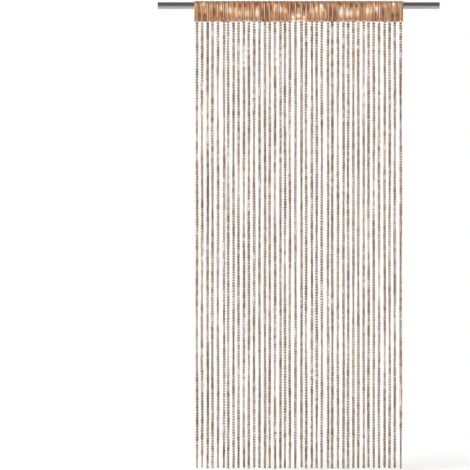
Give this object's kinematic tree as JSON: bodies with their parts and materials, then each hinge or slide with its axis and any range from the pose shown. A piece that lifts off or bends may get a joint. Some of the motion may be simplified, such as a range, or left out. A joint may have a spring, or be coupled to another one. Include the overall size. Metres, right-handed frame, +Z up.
{
  "type": "metallic string curtain on a rod",
  "caption": "Doorway curtain of flat metallic chain strings hanging free from a gathered rod-pocket header, threaded on a plain round metal rod.",
  "frame": {"origin": "on the rod's axis, midway between its ends, which is also the middle of the curtain's width", "axes": "+Z up, +X along the rod, -Y out of the curtain's face"},
  "size_m": [1.215, 0.0398, 2.0179],
  "materials": {
    "rod_metal": "satin grey",
    "header_cloth": "shiny gold and cream cloth with fine gathers",
    "string_yarn": "glossy cream-gold crochet yarn",
    "mirror_film": "narrow mirror film worked into the strings"
  },
  "bodies": {
    "root": {"rod": "rod_metal", "header": "header_cloth", "fringe": "string_yarn"}
  },
  "joints": []
}
